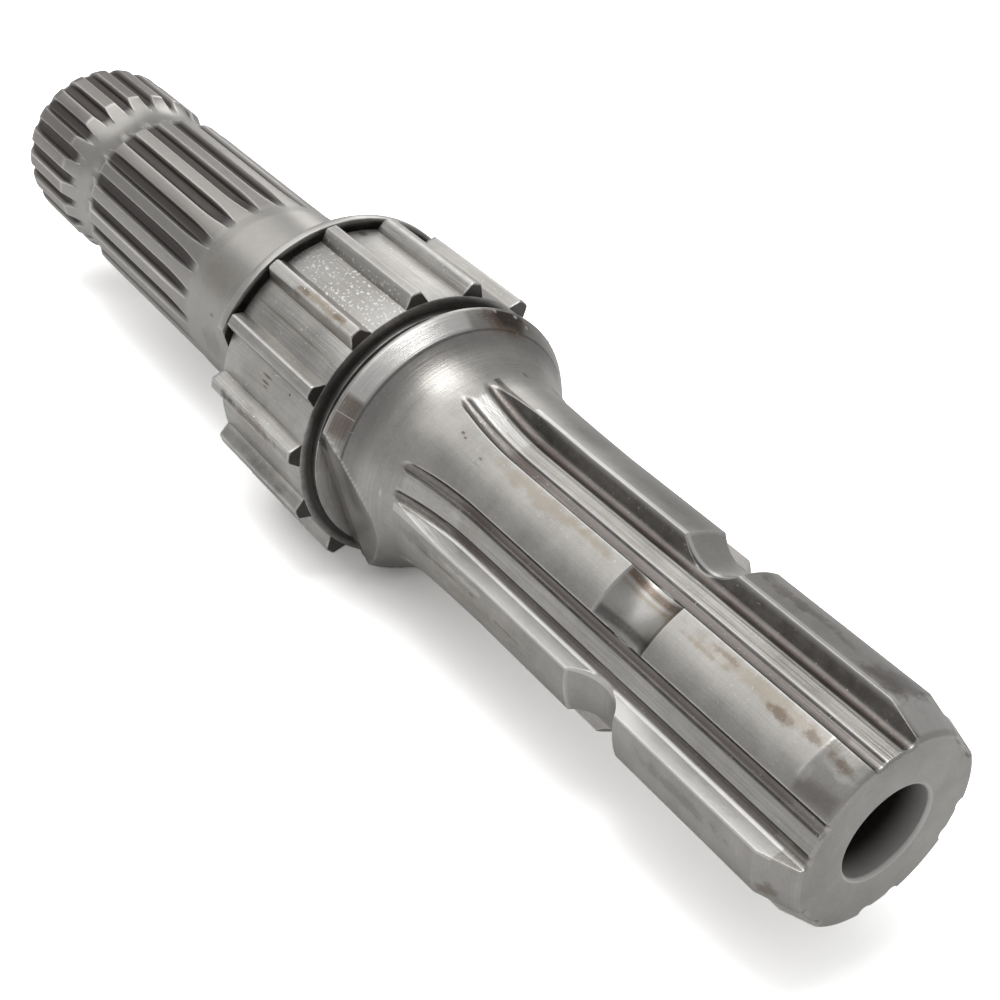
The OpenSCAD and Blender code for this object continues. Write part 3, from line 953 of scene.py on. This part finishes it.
# Finish of a skin: its marks, which include painted shade and painted highlights, the depths between which
# dirt sets in, the tint of that dirt, how strong clouds, the painted glints, lines along and rings are,
# and the turns between which the painted glints are denser, and by how much
FINISHES = {
    "spline_steel": SimpleNamespace(
        spots=NEAR_SPOTS, bands=NEAR_BANDS, gaps=NEAR_GAPS, dirt=(2.76, 3.15), floor="plum",
        clouds=0.9, specks=0.30, lines=0.25, rings=0.22, painted_glint_turns=(0, 10, 0.0)),
    "collar_steel": SimpleNamespace(
        spots=COLLAR_SPOTS, bands=COLLAR_BANDS, gaps=(), dirt=(9.0, 10.0), floor="plum",
        clouds=0.8, specks=0.95, lines=0.95, rings=0.10, painted_glint_turns=(16.0, 34.0, 0.09)),
    "journal_steel": SimpleNamespace(
        spots=FAR_SPOTS, bands=FAR_BANDS, gaps=(), dirt=(0.15, 1.00), floor="dark",
        clouds=0.25, specks=0.0, lines=0.06, rings=0.03, painted_glint_turns=(0, 10, 0.0)),
}


# Stretches with a finish of their own, as distances from the end face: stronger rings on the fillet,
# crescent and bevel, painted shade behind the crest, and the bore with its painted light and shade
FILLET = (86, 97.8)
BEVEL = (97.8, 101.0)
BEHIND_CREST = (101.8, 105.95)
CRESCENT = (103.6, 104.7)
BORE = (-1, 60)

# Turns and radii of the crescent face, radii of the bore and its lip, and how far in light reaches
CRESCENT_TURNS = (76, 150)
CRESCENT_RADII = (10, 21.9)
BORE_RADII = (-1, 8.0)
BORE_LIP = (8.4, 9.0)
BORE_LIGHT = (0.8, 5.2)

MAKERS = {"shaft_places": places_group, "window": window_group, "spot": spot_group, "grain": grain_group}


def use(tree, kind, *values):
    """Outputs of a shared group, which is built once, with its inputs in order."""
    node = add(tree, "ShaderNodeGroup", node_tree=bpy.data.node_groups.get(kind) or MAKERS[kind]())
    for socket, value in zip(node.inputs, values):
        put(tree, socket, value)
    return node.outputs


def window(tree, value, levels, soft):
    """Mask between two levels of a value."""
    return use(tree, "window", value, *levels, soft)[0]


def line_strengths(tree, at, style):
    """How strongly the rings and the lines along the shaft show."""
    rings = style.rings
    for stretch, soft, stronger in ((FILLET, 0.8, 0.45), (CRESCENT, 0.1, 1.4), (BEVEL, 0.1, 1.4)):
        rings = maths(tree, "MULTIPLY_ADD", window(tree, at.along, stretch, soft), stronger, rings)
    return rings, maths(tree, "MULTIPLY_ADD", ramped(tree, at.depth, 0.2, 1.0), 0.9, style.lines)


def with_bands(tree, base, at, inside, bands, finish):
    """Base colour under ragged bands of tint, which include painted shade and painted highlights."""
    for tint, low, high, start, stop, soft, strength in bands:
        stretch = window(tree, at.along, (low, high), soft / 4)
        mask = maths(tree, "MULTIPLY", stretch, window(tree, at.turn, (start, stop), soft))
        streaks = maths(tree, "MULTIPLY", inside, maths(tree, "MULTIPLY_ADD", at.rag, 0.5, strength))
        stain = maths(tree, "MULTIPLY", mask, streaks, clamp=True)
        base = mixed(tree, stain, base, getattr(finish, tint))
    return base


def with_spots(tree, base, at, spots, finish):
    """Base colour under ragged spots of tint."""
    for tint, place, around, long, wide, ragged, strength in spots:
        mask = use(tree, "spot", at.along, at.turn, at.rag, place, around, long, wide, ragged)[0]
        base = mixed(tree, maths(tree, "MULTIPLY", mask, strength), base, getattr(finish, tint))
    return base


def with_painted_glints(tree, base, at, style, finish):
    """Base colour with painted glints: bright specks, denser between some turns."""
    start, stop, denser = style.painted_glint_turns
    least = maths(tree, "MULTIPLY_ADD", window(tree, at.turn, (start, stop), 1.0), -denser, 0.21)
    painted_glints = ramped(tree, at.specks, least, maths(tree, "ADD", least, 0.04))
    return mixed(tree, maths(tree, "MULTIPLY", painted_glints, style.specks), base, finish.bright_wear_and_highlight)


def with_shade(tree, base, at, finish):
    """Base colour with the shade behind the crest, which is less deep on the crescent face."""
    side = window(tree, at.turn, CRESCENT_TURNS, 2.0)
    crescent = maths(tree, "MULTIPLY", side, window(tree, at.radius, CRESCENT_RADII, 0.1))
    shade = maths(tree, "MULTIPLY", window(tree, at.along, BEHIND_CREST, 0.1), 0.76)
    lit = maths(tree, "MULTIPLY_ADD", crescent, -0.65, 1.0)
    return mixed(tree, maths(tree, "MULTIPLY", shade, lit), base, finish.dark)


def with_wear(tree, base, at, finish):
    """Base colour with edges rubbed bright, but for the lip of the bore."""
    rubbed = maths(tree, "MULTIPLY", at.edge, ramped(tree, at.radius, *BORE_LIP))
    uneven = maths(tree, "MULTIPLY_ADD", at.rag, 1.4, finish.edge_wear)
    return mixed(tree, maths(tree, "MULTIPLY", rubbed, uneven, clamp=True), base, finish.bright_wear_and_highlight)


def steel_material(name, finish):
    """Machined steel with wear on its edges, dirt in its hollows, its own marks, and painted shade,
    painted highlights and painted glints.
    """
    known = bpy.data.materials.get(name)
    if known:
        return known
    style = FINISHES[name]
    material = bpy.data.materials.new(name)
    material.use_nodes = True
    tree = material.node_tree
    shader = tree.nodes["Principled BSDF"]
    at = SimpleNamespace()
    at.along, at.turn, at.radius = use(tree, "shaft_places")
    at.depth = add(tree, "ShaderNodeAttribute", attribute_name="depth").outputs["Fac"]
    at.edge = add(tree, "ShaderNodeAttribute", attribute_name="edge").outputs["Fac"]
    lines = line_strengths(tree, at, style)
    grain = use(tree, "grain", at.along, at.radius, *lines, style.clouds)
    shade, rough, height, at.rag, at.specks = grain
    hollow = ramped(tree, at.depth, *style.dirt)
    dirt = maths(tree, "MULTIPLY", hollow, finish.grime)
    base = mixed(tree, 1.0, finish.steel, shade, "MULTIPLY")
    base = mixed(tree, dirt, base, getattr(finish, style.floor))
    base = with_bands(tree, base, at, ramped(tree, at.depth, 0.05, 0.25), style.gaps, finish)
    base = with_bands(tree, base, at, 1.0, style.bands, finish)
    base = with_spots(tree, base, at, style.spots, finish)
    base = with_painted_glints(tree, base, at, style, finish)
    base = with_shade(tree, base, at, finish)
    # Painted light and shade in the bore: its wall fades from the pale mouth colour to the dark colour
    # deeper in
    bored = window(tree, at.radius, BORE_RADII, 0.1)
    bore = maths(tree, "MULTIPLY", bored, window(tree, at.along, BORE, 0.5))
    wall = mixed(tree, ramped(tree, at.along, *BORE_LIGHT), finish.mouth, finish.dark)
    base = with_wear(tree, mixed(tree, bore, base, wall), at, finish)
    put(tree, shader.inputs["Base Color"], base)
    put(tree, shader.inputs["Metallic"], maths(tree, "MULTIPLY_ADD", bore, -0.6, 1.0))
    put(tree, shader.inputs["Roughness"], maths(tree, "MULTIPLY_ADD", hollow, 0.1, rough))
    bump = add(tree, "ShaderNodeBump", {"Strength": 0.7, "Distance": 0.00006, "Height": height})
    put(tree, shader.inputs["Normal"], bump.outputs[0])
    return material


# Studio

# Lights by the name of their radiance: place, spot they point at, size
LIGHTS = {
    "overhead": ((-0.52, -0.14, 0.72), (-0.45, 0, 0), (1.25, 0.95)),
    "core": ((0.05, -0.11, 0.70), (0.02, 0, 0.03), (0.16, 0.30)),
    "strip": ((-0.75, 0.62, 0.50), (0, 0, 0.03), (0.3, 0.5)),
}

# Tint of the paper as the steel mirrors it and as the camera sees it, and half the width of the floor
PAPER_MIRRORED = (0.82, 0.82, 0.82, 1)
PAPER_SEEN = (2.7, 2.7, 2.7, 1)
FLOOR_HALF = 6.0


def softbox(name, place, aim, size, strength):
    """Rectangular area light of an even radiance that points at a spot."""
    light = bpy.data.lights.new(name, "AREA")
    light.shape = "RECTANGLE"
    light.size = size[0]
    light.size_y = size[1]
    light.energy = strength * math.pi * size[0] * size[1]
    lamp = placed(name, light)
    lamp.location = place
    lamp.rotation_euler = (Vector(aim) - Vector(place)).to_track_quat("-Z", "Y").to_euler()


def paper_material():
    """Pale paper that the camera sees as white, with its shadow."""
    paper = bpy.data.materials.new("paper")
    paper.use_nodes = True
    tree = paper.node_tree
    tree.nodes.clear()
    path = tree.nodes.new("ShaderNodeLightPath")
    tint = mixed(tree, path.outputs["Is Camera Ray"], PAPER_MIRRORED, PAPER_SEEN)
    sheet = add(tree, "ShaderNodeBsdfDiffuse", {"Color": tint})
    out = tree.nodes.new("ShaderNodeOutputMaterial")
    tree.links.new(sheet.outputs[0], out.inputs["Surface"])
    return paper


def build_floor():
    """Pale floor that the shaft lies on."""
    mesh = bpy.data.meshes.new("floor")
    half = FLOOR_HALF
    corners = [(-half, -half, 0), (half, -half, 0), (half, half, 0), (-half, half, 0)]
    mesh.from_pydata(corners, [], [(0, 1, 2, 3)])
    mesh.materials.append(paper_material())
    floor = placed("floor", mesh)


def build_room(brightness):
    """White room for the camera, dimmer in what the steel mirrors."""
    world = bpy.context.scene.world or bpy.data.worlds.new("studio")
    bpy.context.scene.world = world
    world.use_nodes = True
    tree = world.node_tree
    path = tree.nodes.new("ShaderNodeLightPath")
    level = maths(tree, "MULTIPLY_ADD", path.outputs["Is Camera Ray"], 1.0 - brightness, brightness)
    sky = tree.nodes["Background"]
    tree.links.new(level, sky.inputs["Strength"])
    sky.inputs["Color"].default_value = (1, 1, 1, 1)


def build_camera():
    """Camera of the photograph."""
    camera = bpy.data.cameras.new("camera")
    camera.lens = LENS_MM
    camera.sensor_width = SENSOR_MM
    camera.clip_start = 0.01
    holder = placed("camera", camera)
    turn = Matrix((CAMERA_RIGHT, CAMERA_UP, CAMERA_BACK)).transposed().to_4x4()
    turn.translation = Vector(CAMERA_PLACE)
    holder.matrix_world = turn
    bpy.context.scene.camera = holder
    bpy.context.scene.view_settings.view_transform = "Standard"


# Operators

class SHAFT_OT_near_end(bpy.types.Operator):
    """Build the skin of the six-spline end and the shoulder"""

    bl_idname = "shaft.near_end"
    bl_label = "Spline end and shoulder"

    def execute(self, context):
        scene = context.scene
        near, collar = in_millimetres(scene.shaft_near), in_millimetres(scene.shaft_collar)
        steel = steel_material("spline_steel", scene.shaft_finish)
        piece = skin_object("spline_end_skin", near_stations(near, collar), steel)
        finish_piece(piece, "coarse_spline_end", "shoulder_hub")
        return {"FINISHED"}


class SHAFT_OT_collar(bpy.types.Operator):
    """Build the skin of the collar without its teeth"""

    bl_idname = "shaft.collar"
    bl_label = "Collar"

    def execute(self, context):
        scene = context.scene
        near, collar = in_millimetres(scene.shaft_near), in_millimetres(scene.shaft_collar)
        steel = steel_material("collar_steel", scene.shaft_finish)
        piece = skin_object("collar_skin", collar_stations(near, collar), steel)
        finish_piece(piece, "shoulder_hub")
        return {"FINISHED"}


class SHAFT_OT_teeth(bpy.types.Operator):
    """Build the teeth of the collar"""

    bl_idname = "shaft.teeth"
    bl_label = "Collar teeth"

    def execute(self, context):
        collar = in_millimetres(context.scene.shaft_collar)
        steel = steel_material("collar_steel", context.scene.shaft_finish)
        tooth = tooth_object(collar, steel)
        teeth = plain_mesh_of(tooth, tooth_ring_tree(collar, steel), "collar_teeth")
        finish_piece(teeth, "shoulder_hub")
        return {"FINISHED"}


class SHAFT_OT_far_end(bpy.types.Operator):
    """Build the skin of the disc, the journal and the fine splines"""

    bl_idname = "shaft.far_end"
    bl_label = "Journal and fine splines"

    def execute(self, context):
        scene = context.scene
        collar, far = in_millimetres(scene.shaft_collar), in_millimetres(scene.shaft_far)
        steel = steel_material("journal_steel", scene.shaft_finish)
        piece = skin_object("far_end_skin", far_stations(collar, far), steel)
        finish_piece(piece, "shoulder_hub", "fine_spline_end")
        return {"FINISHED"}


class SHAFT_OT_studio(bpy.types.Operator):
    """Build the floor, the lights and the camera"""

    bl_idname = "shaft.studio"
    bl_label = "Studio"

    def execute(self, context):
        studio = context.scene.shaft_studio
        build_floor()
        for name, (place, aim, size) in LIGHTS.items():
            softbox(name, place, aim, size, getattr(studio, name))
        build_room(studio.room)
        build_camera()
        return {"FINISHED"}


OPERATORS = (SHAFT_OT_near_end, SHAFT_OT_collar, SHAFT_OT_teeth, SHAFT_OT_far_end, SHAFT_OT_studio)
SETTINGS = {
    "shaft_near": NearEndSettings,
    "shaft_collar": CollarSettings,
    "shaft_far": FarEndSettings,
    "shaft_finish": FinishSettings,
    "shaft_studio": StudioSettings,
}


class SHAFT_PT_tools(bpy.types.Panel):
    """Settings and steps of the shaft"""

    bl_idname = "SHAFT_PT_tools"
    bl_label = "Power take-off shaft"
    bl_space_type = "VIEW_3D"
    bl_region_type = "UI"
    bl_category = "Shaft"

    def draw(self, context):
        for operator in OPERATORS:
            self.layout.operator(operator.bl_idname)
        for name in SETTINGS:
            box = self.layout.box()
            group = getattr(context.scene, name)
            for prop in own_properties(group):
                box.prop(group, prop.identifier)


def register():
    """Registers the settings, the operators and the panel."""
    for name, settings in SETTINGS.items():
        bpy.utils.register_class(settings)
        setattr(bpy.types.Scene, name, PointerProperty(type=settings))
    for shown in (*OPERATORS, SHAFT_PT_tools):
        bpy.utils.register_class(shown)


def unregister():
    """Takes the settings, the operators and the panel away again."""
    for shown in (SHAFT_PT_tools, *reversed(OPERATORS)):
        bpy.utils.unregister_class(shown)
    for name, settings in reversed(SETTINGS.items()):
        delattr(bpy.types.Scene, name)
        bpy.utils.unregister_class(settings)


def main():
    register()
    bpy.ops.shaft.near_end()
    bpy.ops.shaft.collar()
    bpy.ops.shaft.teeth()
    bpy.ops.shaft.far_end()
    bpy.ops.shaft.studio()


if __name__ == "__main__":
    main()
